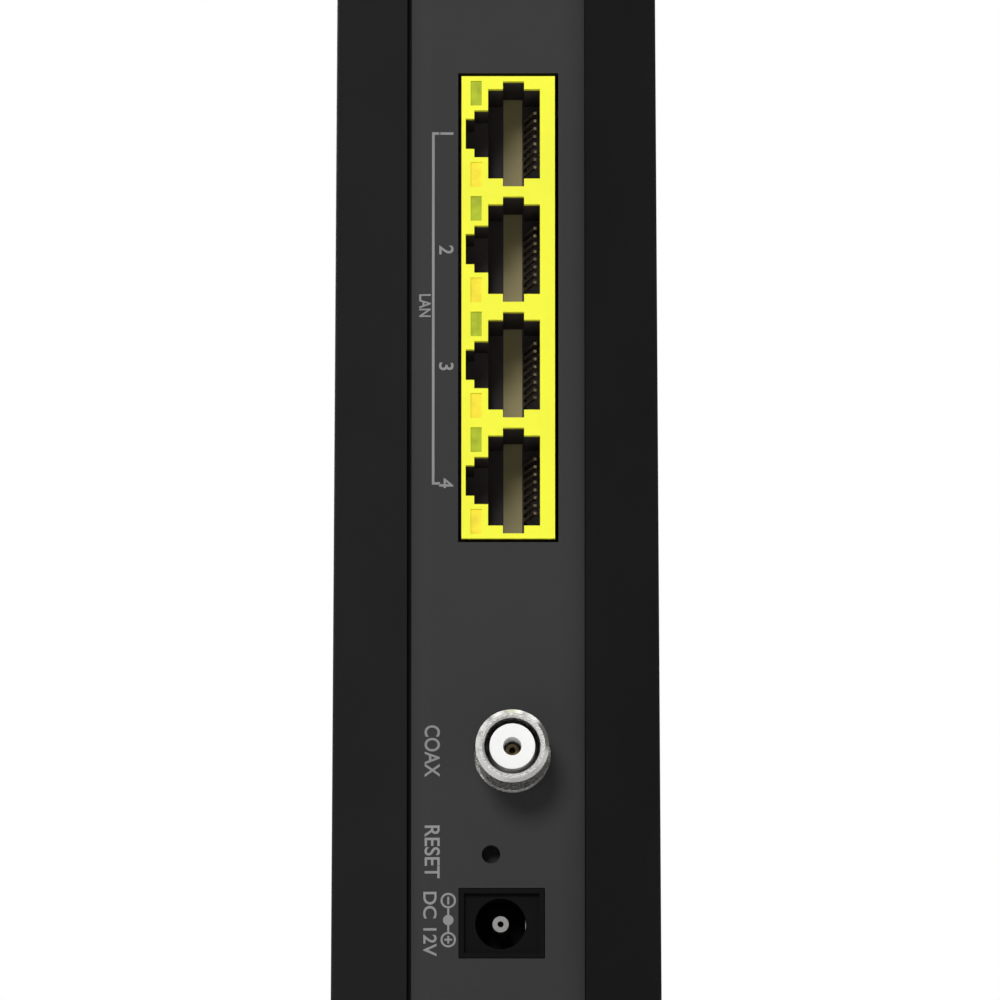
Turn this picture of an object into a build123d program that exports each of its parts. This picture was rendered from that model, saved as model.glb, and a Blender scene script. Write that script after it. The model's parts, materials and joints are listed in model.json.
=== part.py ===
"""An upright cable modem router: two beveled side shells closed round a narrow centre band.

The row frame is in millimetres. X is the width, with the circuit board nearer +X. Y is the depth:
the status lights face -Y and the sockets face +Y. Z is up, and Z = 0 is the table under the rubber feet.
Left is -X and right is +X, as seen from the front.
"""

import os

from build123d import *

os.makedirs("parts", exist_ok=True)

# Overall size
HEIGHT = 200.0
FRONT_Y = -80.0
TIP_Y = 80.0  # tip of the coax connector
RIM_Y = 71.4  # rear rim of the two side shells
MID_Y = (FRONT_Y + RIM_Y) / 2
BODY_Z = 9.0  # underside of the body, which stands on the foot
BAND_HALF = 11.6  # half width of the centre band between the side shells
SIDE_HALF = 21.63  # half width of the body at table height
SIDE_LEAN = 0.005  # each side leans in by this much for each mm of height
TOP_R = 14.0
BOTTOM_R = 6.0

# Side shells
WALL = 2.2
REAR_BEVEL = 12.0
FRONT_BEVEL = 14.0
TOP_BEVEL = 9.0
SIDE_EDGE_R = 1.6
SIDE_TOP_R = TOP_R - 4  # upper corner radius where the bevels meet the broad side
HOLLOW_TOP_R = TOP_R - 6
SIDE_LIFT = 0.001  # keeps the leaning side's lower edge off the foot
LIP_REACH = 2.0  # how far the inner lip reaches past the rim, under the band
LIP_OUT = 2.5
LIP_IN = 3.7
LIP_FLOOR = 16.0
LIP_ROOT = 1.2  # how far the lip runs on into the shell
CUT = 5.0  # depth of a cut that goes right through a skin

# Centre band pieces
BAND_SKIN = 2.1
BAND_JOINT = 0.2  # gap between one band piece and the next
BAND_SINK = 0.3  # the band lies this far below the rims
SEAM_OPEN = 0.6  # visible joint on the right-hand side
SEAM_CLOSED = 0.1  # tight joint on the left-hand side
BAND_RIGHT = BAND_HALF - SEAM_OPEN
BAND_LEFT = -BAND_HALF + SEAM_CLOSED
BAND_WIDTH = BAND_RIGHT - BAND_LEFT
BAND_MID = (BAND_RIGHT + BAND_LEFT) / 2
PANEL_Z0 = BODY_Z + BOTTOM_R + 0.1
PANEL_Z1 = HEIGHT - TOP_R - 0.1
PANEL_Y = RIM_Y - BAND_SINK
FASCIA_Y = FRONT_Y + BAND_SINK

# Circuit board
BOARD_X = 6.5  # component face, which looks towards -X
BOARD_T = 1.6
BOARD_Y0, BOARD_Y1 = -66.0, 66.6
BOARD_Z0, BOARD_Z1 = 19.0, 168.0
BOARD_HOLES = [(-58.0, 27.0), (-58.0, 160.0), (44.0, 66.0), (52.0, 160.0)]
BOARD_BACK = BOARD_X + BOARD_T

# Sockets on the rear panel: (X, Z) centres
LAN_PITCH = 15.24
LAN_PORTS = 4
LAN_Z = 107.9  # middle of the four ports
LAN_X0, LAN_X1 = -7.65, 4.51  # front bezel
LAN_FACE_Y = PANEL_Y + 0.2
LAN_HEIGHT = LAN_PITCH * LAN_PORTS
LAN_CAVITY_X = -2.33
LAN_DEPTH = 13.5
COAX = (-2.09, 49.15)
RESET = (0.67, 36.1)
POWER = (-0.72, 27.12)

# Front controls
LIGHT_Z = [160.0 - 12.0 * i for i in range(7)]
LIGHT_X = 0.0
WPS_Z = 62.0
WPS_R = 4.6

SIDE_PLANE = Plane(
    origin=(SIDE_HALF, 0, 0), x_dir=(0, 1, 0), z_dir=(1, 0, SIDE_LEAN)
)


def across(x):
    """The plane at that X, whose own axes are Y and Z."""
    return Plane(origin=(x, 0, 0), x_dir=(0, 1, 0), z_dir=(1, 0, 0))


def facing_rear(y):
    """The plane at that Y, whose own axes are -X and Z and whose normal is +Y."""
    return Plane(origin=(0, y, 0), x_dir=(-1, 0, 0), z_dir=(0, 1, 0))


def facing_front(y):
    """The plane at that Y, whose own axes are X and Z and whose normal is -Y."""
    return Plane(origin=(0, y, 0), x_dir=(1, 0, 0), z_dir=(0, -1, 0))


def body_outline(front, rear, bottom, top, bottom_r, top_r):
    """A side view of the body: a rectangle with its own radii above and below, in Y and Z."""
    with BuildSketch() as outline:
        with Locations(((front + rear) / 2, (bottom + top) / 2)):
            Rectangle(rear - front, top - bottom)
        fillet(outline.vertices().group_by(Axis.Y)[-1], radius=top_r)
        fillet(outline.vertices().group_by(Axis.Y)[0], radius=bottom_r)
    return outline.sketch


def inset_outline(inset):
    """The body's seam outline, moved in on every side."""
    return body_outline(
        FRONT_Y + inset,
        RIM_Y - inset,
        BODY_Z + inset,
        HEIGHT - inset,
        BOTTOM_R - inset,
        TOP_R - inset,
    )


def block(x0, x1, y0, y1, z0, z1, mode=Mode.ADD):
    """A box between two corners, added to the part being built."""
    with Locations(((x0 + x1) / 2, (y0 + y1) / 2, (z0 + z1) / 2)):
        Box(abs(x1 - x0), abs(y1 - y0), abs(z1 - z0), mode=mode)


def on_board(y, z, size_y, size_z, height, lift=0.0, mode=Mode.ADD):
    """A box standing on the board's component face."""
    x0 = BOARD_X - lift
    block(x0 - height, x0, y - size_y / 2, y + size_y / 2, z - size_z / 2, z + size_z / 2, mode)


# ---------------------------------------------------------------- side shells
PEGS = [(-52.0, 181.0), (44.0, 181.0)]
PEG_R = 2.0
PEG_TIP = -4.0
SOCKET_R = 3.6
SOCKET_END = 1.0
PEG_FIT = 0.05
PEG_ROOM = 0.1
BOSS_R = 3.2
BOSS_ROOT = 0.3
SIDE_SCREWS = [(-50.0, 15.5), (44.0, 15.5)]  # (Y, X) of the screws under the body
SIDE_SINK = 1.0  # the side screws' heads lie this deep
SCREW_R = 1.2
SCREW_ROOM = 0.3  # room round a screw where it passes through a hole
HEAD_R = 2.7
HEAD_ROOM = 0.3
ANTENNAS = [(-40.0, 156.0), (20.0, 156.0)]  # (Y, Z) of the two antenna boards
ANTENNA_SIZE = (40.0, 12.0)
ANTENNA_X = -17.0  # outer face of the antenna boards
ANTENNA_T = 0.8
ANTENNA_POST_Y = 14.0  # posts this far each side of a board's middle
ANTENNA_POST = (2.0, 4.0)  # half sizes along Y and Z
VENT_COUNT = 13
VENT_PITCH = 6.4
VENT_Z = 38.0
VENT_SIZE = (2.0, 24.0)


def wall_inset(bevel):
    """How far the inner face of a bevel lies inside its outer face, measured along the seam plane."""
    rise = SIDE_HALF - BAND_HALF
    return WALL * (rise**2 + bevel**2) ** 0.5 / rise


def tray_cavity():
    """The hollow of the right-hand shell, one wall thickness inside its outer faces."""
    front, rear, top = wall_inset(FRONT_BEVEL), wall_inset(REAR_BEVEL), wall_inset(TOP_BEVEL)
    depth = 1 - WALL / (SIDE_HALF - BAND_HALF)
    with BuildPart() as cavity:
        with BuildSketch(across(BAND_HALF)):
            add(
                body_outline(
                    FRONT_Y + front, RIM_Y - rear, BODY_Z + WALL, HEIGHT - top, BOTTOM_R - WALL, TOP_R - top
                )
            )
        with BuildSketch(SIDE_PLANE.offset(-WALL)):
            add(
                body_outline(
                    FRONT_Y + FRONT_BEVEL * depth + front,
                    RIM_Y - REAR_BEVEL * depth - rear,
                    BODY_Z + WALL,
                    HEIGHT - TOP_BEVEL * depth - top,
                    BOTTOM_R - WALL,
                    HOLLOW_TOP_R,
                )
            )
        loft(ruled=True)
    return cavity.part


def side_tray():
    """The right-hand shell's beveled tray with its inner lip, before bosses."""
    hollow = tray_cavity()
    with BuildPart() as tray:
        with BuildSketch(across(BAND_HALF)):
            add(inset_outline(0))
        with BuildSketch(SIDE_PLANE):
            add(
                body_outline(
                    FRONT_Y + FRONT_BEVEL,
                    RIM_Y - REAR_BEVEL,
                    BODY_Z + SIDE_LIFT,
                    HEIGHT - TOP_BEVEL,
                    BOTTOM_R,
                    SIDE_TOP_R,
                )
            )
        loft(ruled=True)
        side = tray.faces().sort_by(Axis.X)[-1]
        fillet(side.outer_wire().edges(), radius=SIDE_EDGE_R)
        add(hollow, mode=Mode.SUBTRACT)
        with BuildSketch(across(BAND_HALF - LIP_REACH)):
            add(inset_outline(LIP_OUT))
            add(inset_outline(LIP_IN), mode=Mode.SUBTRACT)
            with Locations((0, LIP_FLOOR - HEIGHT / 2)):
                Rectangle(2 * HEIGHT, HEIGHT, mode=Mode.SUBTRACT)
        extrude(amount=LIP_REACH + LIP_ROOT)
        with BuildSketch(across(SIDE_HALF - CUT)):
            with Locations((MID_Y, VENT_Z)):
                with GridLocations(VENT_PITCH, 0, VENT_COUNT, 1):
                    SlotOverall(VENT_SIZE[1], VENT_SIZE[0], rotation=90)
        extrude(amount=2 * CUT, mode=Mode.SUBTRACT)
        with BuildSketch(Plane.XY.offset(BODY_Z)):
            with Locations(*[(x, y) for y, x in SIDE_SCREWS]):
                Circle(SCREW_R + SCREW_ROOM)
        extrude(amount=CUT / 2, mode=Mode.SUBTRACT)
        with BuildSketch(Plane.XY.offset(BODY_Z)):
            with Locations(*[(x, y) for y, x in SIDE_SCREWS]):
                Circle(HEAD_R + HEAD_ROOM)
        extrude(amount=SIDE_SINK, mode=Mode.SUBTRACT)
    return tray.part


def inner_side(z):
    """X a little inside the right-hand shell's wall at that height, where a boss roots."""
    return SIDE_HALF - SIDE_LEAN * z - WALL + BOSS_ROOT


right_tray = side_tray()
with BuildPart() as right_shell:
    add(right_tray)
    for y, z in BOARD_HOLES:
        with BuildSketch(across(BOARD_BACK)):
            with Locations((y, z)):
                Circle(BOSS_R)
                Circle(SCREW_R, mode=Mode.SUBTRACT)
        extrude(amount=inner_side(z) - BOARD_BACK)
    for y, z in PEGS:
        with BuildSketch(across(PEG_TIP)):
            with Locations((y, z)):
                Circle(PEG_R)
        extrude(amount=SOCKET_END - PEG_TIP + LIP_ROOT)
        with BuildSketch(across(SOCKET_END)):
            with Locations((y, z)):
                Circle(SOCKET_R)
        extrude(amount=inner_side(z) - SOCKET_END)
right_shell.part.label = "right_shell"
export_step(right_shell.part, "parts/right_shell.step")

with BuildPart() as left_shell:
    mirror(right_tray, about=Plane.YZ)
    for y, z in PEGS:
        with BuildSketch(across(SOCKET_END - PEG_ROOM)):
            with Locations((y, z)):
                Circle(SOCKET_R)
                Circle(PEG_R + PEG_FIT, mode=Mode.SUBTRACT)
        extrude(amount=-(inner_side(z) + SOCKET_END - PEG_ROOM))
    for y, z in ANTENNAS:
        for side in (-1, 1):
            post_y = y + side * ANTENNA_POST_Y
            block(
                -inner_side(z), ANTENNA_X, post_y - ANTENNA_POST[0], post_y + ANTENNA_POST[0],
                z - ANTENNA_POST[1], z + ANTENNA_POST[1],
            )
left_shell.part.label = "left_shell"
export_step(left_shell.part, "parts/left_shell.step")

# ---------------------------------------------------------------- centre band
PANEL_CROWN = 0.4  # how far the panel's outer face falls away at its long edges
PANEL_FLAT = 8.4
LAN_GAP = 0.45
POWER_SIZE = (11.2, 9.2)
COAX_HOLE_R = 5.0
RESET_HOLE_R = 1.2
RIB_X = (BAND_HALF - LIP_REACH - 0.9, BAND_HALF - LIP_REACH - 0.1)
RIB_DEPTH = 2.4
RIB_SHORT = 6.0  # a rib stops this far short of each end of its piece


def rear_section():
    """The rear panel's cross-section: a plate whose outer face falls away a little at both edges."""
    with BuildSketch() as section:
        with BuildLine():
            left_flat = (-PANEL_FLAT, PANEL_Y)
            right_flat = (PANEL_FLAT, PANEL_Y)
            left_edge = (BAND_LEFT, PANEL_Y - PANEL_CROWN)
            right_edge = (BAND_RIGHT, PANEL_Y - PANEL_CROWN)
            Line(left_flat, right_flat)
            TangentArc(right_flat, right_edge, tangent=(1, 0))
            TangentArc(left_flat, left_edge, tangent=(-1, 0))
            inner = PANEL_Y - BAND_SKIN
            Polyline(left_edge, (BAND_LEFT, inner), (BAND_RIGHT, inner), right_edge)
        make_face()
    return section.sketch


with BuildPart() as rear_panel:
    with BuildSketch(Plane.XY.offset(PANEL_Z0)):
        add(rear_section())
    extrude(amount=PANEL_Z1 - PANEL_Z0)
    for side in (-1, 1):
        block(
            side * RIB_X[0], side * RIB_X[1],
            PANEL_Y - BAND_SKIN - RIB_DEPTH, PANEL_Y - BAND_SKIN,
            PANEL_Z0 + RIB_SHORT, PANEL_Z1 - RIB_SHORT,
        )
    block(
        LAN_X0 - LAN_GAP, LAN_X1 + LAN_GAP, PANEL_Y - CUT, PANEL_Y + CUT,
        LAN_Z - LAN_HEIGHT / 2 - LAN_GAP, LAN_Z + LAN_HEIGHT / 2 + LAN_GAP,
        mode=Mode.SUBTRACT,
    )
    block(
        POWER[0] - POWER_SIZE[0] / 2, POWER[0] + POWER_SIZE[0] / 2, PANEL_Y - CUT, PANEL_Y + CUT,
        POWER[1] - POWER_SIZE[1] / 2, POWER[1] + POWER_SIZE[1] / 2,
        mode=Mode.SUBTRACT,
    )
    with BuildSketch(facing_rear(PANEL_Y)):
        with Locations((-COAX[0], COAX[1])):
            Circle(COAX_HOLE_R)
        with Locations((-RESET[0], RESET[1])):
            Circle(RESET_HOLE_R)
    extrude(amount=-CUT, mode=Mode.SUBTRACT)
rear_panel.part.label = "rear_panel"
export_step(rear_panel.part, "parts/rear_panel.step")

GRILLE_COUNT = 23
GRILLE_PITCH = 5.2
GRILLE_SLOT = (2.4, 15.5)


def band_strip(z0, z1):
    """Adds the part of the band's skin between two heights, following the seam outline."""
    with BuildSketch(across(BAND_LEFT)) as strip:
        add(inset_outline(BAND_SINK))
        add(inset_outline(BAND_SINK + BAND_SKIN), mode=Mode.SUBTRACT)
        with Locations((MID_Y, (z0 + z1) / 2)):
            Rectangle(2 * HEIGHT, z1 - z0, mode=Mode.INTERSECT)
    extrude(strip.sketch, amount=BAND_WIDTH)


with BuildPart() as top_grille:
    band_strip(PANEL_Z1 + BAND_JOINT, HEIGHT)
    with BuildSketch(Plane.XY.offset(HEIGHT)):
        with Locations((BAND_MID, MID_Y)):
            with GridLocations(0, GRILLE_PITCH, 1, GRILLE_COUNT):
                SlotOverall(GRILLE_SLOT[1], GRILLE_SLOT[0])
    extrude(amount=-CUT, mode=Mode.SUBTRACT)
    for side in (-1, 1):
        block(
            side * RIB_X[0], side * RIB_X[1], FRONT_Y + TOP_R, RIM_Y - TOP_R,
            HEIGHT - BAND_SINK - BAND_SKIN - RIB_DEPTH, HEIGHT - BAND_SINK - BAND_SKIN,
        )
top_grille.part.label = "top_grille"
export_step(top_grille.part, "parts/top_grille.step")

FLOOR_WING_Z = BODY_Z + WALL + 0.1
FLOOR_WING_T = 4.0
WING_HALF = 5.0
PILOT_DEPTH = 12.0
FOOT_SCREWS = [-48.0, 42.0]
INTAKE_COUNT = 13

with BuildPart() as bottom_plate:
    band_strip(BODY_Z, PANEL_Z0 - BAND_JOINT)
    for y, x in SIDE_SCREWS:
        y0, y1 = y - WING_HALF, y + WING_HALF
        block(-x - BOSS_R, x + BOSS_R, y0, y1, FLOOR_WING_Z, FLOOR_WING_Z + FLOOR_WING_T)
        block(BAND_LEFT, BAND_RIGHT, y0, y1, BODY_Z + BAND_SKIN / 2, FLOOR_WING_Z + FLOOR_WING_T)
    with BuildSketch(Plane.XY.offset(BODY_Z)):
        with Locations((BAND_MID, MID_Y)):
            with GridLocations(0, GRILLE_PITCH, 1, INTAKE_COUNT):
                SlotOverall(GRILLE_SLOT[1], GRILLE_SLOT[0])
    extrude(amount=FLOOR_WING_T, mode=Mode.SUBTRACT)
    with BuildSketch(Plane.XY.offset(BODY_Z)):
        with Locations(*[(side * x, y) for y, x in SIDE_SCREWS for side in (-1, 1)]):
            Circle(SCREW_R)
        with Locations(*[(0, y) for y in FOOT_SCREWS]):
            Circle(SCREW_R)
    extrude(amount=PILOT_DEPTH, mode=Mode.SUBTRACT)
bottom_plate.part.label = "bottom_plate"
export_step(bottom_plate.part, "parts/bottom_plate.step")

LIGHT_WINDOW = (1.5, 5.0)
WINDOW_GAP = 0.1
WPS_GAP = 0.25
FASCIA_EDGE_R = 0.6

with BuildPart() as front_fascia:
    block(BAND_LEFT, BAND_RIGHT, FASCIA_Y, FASCIA_Y + BAND_SKIN, PANEL_Z0, PANEL_Z1)
    long_edges = front_fascia.edges().filter_by(Axis.Z).group_by(Axis.Y)[0]
    fillet(long_edges, radius=FASCIA_EDGE_R)
    for side in (-1, 1):
        block(
            side * RIB_X[0], side * RIB_X[1], FASCIA_Y + BAND_SKIN, FASCIA_Y + BAND_SKIN + RIB_DEPTH,
            PANEL_Z0 + RIB_SHORT, PANEL_Z1 - RIB_SHORT,
        )
    with BuildSketch(facing_front(FASCIA_Y)):
        with Locations(*[(LIGHT_X, z) for z in LIGHT_Z]):
            SlotOverall(LIGHT_WINDOW[1], LIGHT_WINDOW[0])
        with Locations((0, WPS_Z)):
            Circle(WPS_R + WPS_GAP)
    extrude(amount=-CUT, mode=Mode.SUBTRACT)
front_fascia.part.label = "front_fascia"
export_step(front_fascia.part, "parts/front_fascia.step")

# ---------------------------------------------------------------- foot
FOOT_W, FOOT_L = 57.0, 130.0
FOOT_TOP_W, FOOT_TOP_L = 45.0, 120.0
FOOT_R, FOOT_TOP_R = 14.0, 10.0
FOOT_WINDOW = (17.0, 66.0, 4.0)  # width, length and corner radius of the air intake
FOOT_Z = 1.5
PAD_R = 5.0
PAD_T = 2.2
PAD_SPREAD = (20.0, 54.0)
PADS = [(x * PAD_SPREAD[0], MID_Y + y * PAD_SPREAD[1]) for x in (-1, 1) for y in (-1, 1)]
FOOT_SINK = 3.5

with BuildPart() as stand_foot:
    with BuildSketch(Plane.XY.offset(FOOT_Z)):
        with Locations((0, MID_Y)):
            RectangleRounded(FOOT_W, FOOT_L, FOOT_R)
    with BuildSketch(Plane.XY.offset(BODY_Z)):
        with Locations((0, MID_Y)):
            RectangleRounded(FOOT_TOP_W, FOOT_TOP_L, FOOT_TOP_R)
    loft(ruled=True)
    with BuildSketch(Plane.XY.offset(FOOT_Z)):
        with Locations((0, MID_Y)):
            RectangleRounded(*FOOT_WINDOW)
    extrude(amount=BODY_Z, mode=Mode.SUBTRACT)
    with BuildSketch(Plane.XY.offset(FOOT_Z)):
        with Locations(*PADS):
            Circle(PAD_R)
    extrude(amount=PAD_T - FOOT_Z, mode=Mode.SUBTRACT)
    with BuildSketch(Plane.XY.offset(FOOT_Z)):
        with Locations(*[(0, y) for y in FOOT_SCREWS]):
            Circle(HEAD_R + HEAD_ROOM)
    extrude(amount=FOOT_SINK, mode=Mode.SUBTRACT)
    with BuildSketch(Plane.XY.offset(FOOT_Z)):
        with Locations(*[(0, y) for y in FOOT_SCREWS]):
            Circle(SCREW_R + SCREW_ROOM)
    extrude(amount=BODY_Z, mode=Mode.SUBTRACT)
stand_foot.part.label = "stand_foot"
export_step(stand_foot.part, "parts/stand_foot.step")

with BuildPart() as rubber_feet:
    with BuildSketch():
        with Locations(*PADS):
            Circle(PAD_R)
    extrude(amount=PAD_T)
rubber_feet.part.label = "rubber_feet"
export_step(rubber_feet.part, "parts/rubber_feet.step")


def upright_screws(spots, head_z, head_t, shaft_top):
    """Adds round-headed screws driven upwards, one at each (X, Y)."""
    with BuildSketch(Plane.XY.offset(head_z)) as heads:
        with Locations(*spots):
            Circle(HEAD_R)
    extrude(heads.sketch, amount=head_t)
    with BuildSketch(Plane.XY.offset(head_z + head_t)) as shafts:
        with Locations(*spots):
            Circle(SCREW_R)
    extrude(shafts.sketch, amount=shaft_top - head_z - head_t)


WING_TOP = FLOOR_WING_Z + FLOOR_WING_T
SCREW_END = WING_TOP - 0.3  # just short of the wing's top
FOOT_HEAD = (FOOT_Z + FOOT_SINK - 1.6, 1.6)  # underside and thickness of the foot screws' heads
SIDE_HEAD = (BODY_Z + 0.1, SIDE_SINK - 0.1)

with BuildPart() as foot_screws:
    upright_screws([(0, y) for y in FOOT_SCREWS], *FOOT_HEAD, SCREW_END)
foot_screws.part.label = "foot_screws"
export_step(foot_screws.part, "parts/foot_screws.step")

with BuildPart() as side_screws:
    side_spots = [(side * x, y) for y, x in SIDE_SCREWS for side in (-1, 1)]
    upright_screws(side_spots, *SIDE_HEAD, SCREW_END)
side_screws.part.label = "side_screws"
export_step(side_screws.part, "parts/side_screws.step")

# ---------------------------------------------------------------- circuit board
BOARD_HOLE_R = 1.5
BOARD_HEAD_T = 1.6
BOARD_SCREW_L = 9.0

with BuildPart() as main_board:
    block(BOARD_X, BOARD_BACK, BOARD_Y0, BOARD_Y1, BOARD_Z0, BOARD_Z1)
    with BuildSketch(across(BOARD_X)):
        with Locations(*BOARD_HOLES):
            Circle(BOARD_HOLE_R)
    extrude(amount=BOARD_T, mode=Mode.SUBTRACT)
main_board.part.label = "main_board"
export_step(main_board.part, "parts/main_board.step")

with BuildPart() as board_screws:
    with BuildSketch(across(BOARD_X)):
        with Locations(*BOARD_HOLES):
            Circle(HEAD_R)
    extrude(amount=-BOARD_HEAD_T)
    with BuildSketch(across(BOARD_X)):
        with Locations(*BOARD_HOLES):
            Circle(SCREW_R)
    extrude(amount=BOARD_SCREW_L)
board_screws.part.label = "board_screws"
export_step(board_screws.part, "parts/board_screws.step")

# ---------------------------------------------------------------- four-port socket
MOUTH = (6.76, 11.84)  # opening for the plug, across X and Z
NOTCH = (2.76, 13.9)
LATCH_WIDE = (1.8, 6.22)
LATCH_NARROW = (1.12, 4.01)
MOUTH_X1 = LAN_CAVITY_X + MOUTH[0] / 2
LAN_BACK_Y = 53.0
PORT_Z = [LAN_Z + LAN_PITCH * (1.5 - i) for i in range(LAN_PORTS)]
WINDOW_X = (1.88, 3.32)
WINDOW_DZ = (3.75, 7.0)
WINDOW_DEPTH = 5.0
WINDOW_RECESS = 0.25
WIRE = 0.36
WIRE_PITCH = 1.02
WIRE_ROOT = (-3.9, 52.4)  # (X, Y) where a contact turns towards the board
WIRE_KNEE_Y = 59.5
WIRE_TIP = (-5.25, 66.4)
BEZEL_T = 1.2
LATCH_DEPTH = 10.0
NOTCH_X0 = -3.64
CARRIER_X = (-3.4, -0.95)
CARRIER_T = 2.4
CARRIER_HALF = 6.8
SOCKET_FOOT_Y = BOARD_Y1 - 0.2  # the sockets stop here over the board
WIRES = 8

with BuildPart() as lan_contacts:
    with BuildSketch(Plane.XY.offset(-WIRE / 2)) as wire_side:
        with BuildLine():
            Polyline(
                WIRE_ROOT,
                (WIRE_ROOT[0], WIRE_KNEE_Y),
                WIRE_TIP,
                (WIRE_TIP[0] + WIRE, WIRE_TIP[1]),
                (WIRE_ROOT[0] + WIRE, WIRE_KNEE_Y),
                (WIRE_ROOT[0] + WIRE, WIRE_ROOT[1] + WIRE),
                (BOARD_X, WIRE_ROOT[1] + WIRE),
                (BOARD_X, WIRE_ROOT[1]),
                close=True,
            )
        make_face()
    one_wire = extrude(wire_side.sketch, amount=WIRE, mode=Mode.PRIVATE)
    for z in PORT_Z:
        with Locations(*[(0, 0, z + WIRE_PITCH * (i - (WIRES - 1) / 2)) for i in range(WIRES)]):
            add(one_wire)
lan_contacts.part.label = "lan_contacts"
export_step(lan_contacts.part, "parts/lan_contacts.step")


def port_windows(sign):
    """Adds the lenses at one corner of every port: above the middle for +1, below it for -1."""
    for z in PORT_Z:
        block(
            WINDOW_X[0], WINDOW_X[1], LAN_FACE_Y - WINDOW_DEPTH, LAN_FACE_Y - WINDOW_RECESS,
            z + sign * WINDOW_DZ[0], z + sign * WINDOW_DZ[1],
        )


with BuildPart() as lan_lights_green:
    port_windows(1)
lan_lights_green.part.label = "lan_lights_green"
export_step(lan_lights_green.part, "parts/lan_lights_green.step")

with BuildPart() as lan_lights_amber:
    port_windows(-1)
lan_lights_amber.part.label = "lan_lights_amber"
export_step(lan_lights_amber.part, "parts/lan_lights_amber.step")

BEZEL_BACK = LAN_FACE_Y - BEZEL_T
CAVITY_BACK = LAN_FACE_Y - LAN_DEPTH
LATCH_BACK = LAN_FACE_Y - LATCH_DEPTH
LAN_Z0, LAN_Z1 = LAN_Z - LAN_HEIGHT / 2, LAN_Z + LAN_HEIGHT / 2

with BuildPart() as lan_carriers:
    for z in PORT_Z:
        block(
            CARRIER_X[0], CARRIER_X[1], CAVITY_BACK - CARRIER_T, CAVITY_BACK,
            z - CARRIER_HALF, z + CARRIER_HALF,
        )
lan_carriers.part.label = "lan_carriers"
export_step(lan_carriers.part, "parts/lan_carriers.step")


def cut_mouths():
    """Cuts every port's stepped mouth and light windows out of the part being built."""
    latch_x = MOUTH_X1 + LATCH_WIDE[0]
    for z in PORT_Z:
        steps = [
            (MOUTH_X1 - MOUTH[0], MOUTH_X1, CAVITY_BACK, MOUTH[1]),
            (NOTCH_X0, NOTCH_X0 + NOTCH[0], CAVITY_BACK, NOTCH[1]),
            (MOUTH_X1, latch_x, LATCH_BACK, LATCH_WIDE[1]),
            (latch_x, latch_x + LATCH_NARROW[0], LATCH_BACK, LATCH_NARROW[1]),
        ]
        for x0, x1, back, height in steps:
            block(x0, x1, back, LAN_FACE_Y, z - height / 2, z + height / 2, mode=Mode.SUBTRACT)
        for sign in (-1, 1):
            block(
                WINDOW_X[0], WINDOW_X[1], LAN_FACE_Y - WINDOW_RECESS, LAN_FACE_Y,
                z + sign * WINDOW_DZ[0], z + sign * WINDOW_DZ[1], mode=Mode.SUBTRACT,
            )
    for insert in (lan_contacts, lan_carriers, lan_lights_green, lan_lights_amber):
        add(insert.part, mode=Mode.SUBTRACT)


with BuildPart() as lan_bezel:
    block(LAN_X0, LAN_X1, BEZEL_BACK, LAN_FACE_Y, LAN_Z0, LAN_Z1)
    cut_mouths()
lan_bezel.part.label = "lan_bezel"
export_step(lan_bezel.part, "parts/lan_bezel.step")

with BuildPart() as lan_housing:
    block(LAN_X0, LAN_X1, LAN_BACK_Y, BEZEL_BACK, LAN_Z0, LAN_Z1)
    block(LAN_X1, BOARD_X, LAN_BACK_Y, SOCKET_FOOT_Y, LAN_Z0, LAN_Z1)
    cut_mouths()
lan_housing.part.label = "lan_housing"
export_step(lan_housing.part, "parts/lan_housing.step")

# ---------------------------------------------------------------- coax connector
THREAD_R = 4.76
ROOT_R = 4.36
CREST_W = 0.42
CREST_PITCH = 0.79
CREST_COUNT = 10
CREST_START = TIP_Y - 0.5
LEAD_IN = 0.5  # chamfer where the nut starts
BORE_CHAMFER = 0.25
COAX_BORE_R = 3.65
INSULATOR_R = 2.95
INSULATOR_STEP_Y = 67.0
CONTACT_ROOT_R = 1.2
CONTACT_R = 0.85
CONTACT_END = TIP_Y - 5.0
INSULATOR_END = TIP_Y - 0.7
COAX_FLOOR = 58.0
COAX_BODY_Y = (55.0, 68.8)
COAX_BODY_HALF = 6.0


def disc(radius, y0, y1, spot, mode=Mode.ADD, hole=0.0):
    """A round piece along Y between two depths, centred on an (X, Z) spot."""
    with BuildSketch(facing_rear(y0)) as ring:
        with Locations((-spot[0], spot[1])):
            Circle(radius)
            if hole:
                Circle(hole, mode=Mode.SUBTRACT)
    extrude(ring.sketch, amount=y1 - y0, mode=mode)


with BuildPart() as coax_barrel:
    block(
        COAX[0] - COAX_BODY_HALF, BOARD_X, COAX_BODY_Y[0], SOCKET_FOOT_Y,
        COAX[1] - COAX_BODY_HALF, COAX[1] + COAX_BODY_HALF,
    )
    disc(COAX_BODY_HALF - 0.4, SOCKET_FOOT_Y, COAX_BODY_Y[1], COAX)
    disc(ROOT_R, COAX_BODY_Y[1], TIP_Y, COAX)
    disc(THREAD_R, CREST_START, TIP_Y, COAX)
    for i in range(CREST_COUNT):
        y = CREST_START - CREST_PITCH * i
        disc(THREAD_R, y - CREST_W, y, COAX)
    disc(COAX_BORE_R, COAX_FLOOR, TIP_Y, COAX, mode=Mode.SUBTRACT)
    bore_edge, thread_edge = coax_barrel.edges().group_by(Axis.Y)[-1].sort_by(SortBy.LENGTH)
    chamfer(thread_edge, length=LEAD_IN)
    chamfer(bore_edge, length=BORE_CHAMFER)
coax_barrel.part.label = "coax_barrel"
export_step(coax_barrel.part, "parts/coax_barrel.step")

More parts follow.
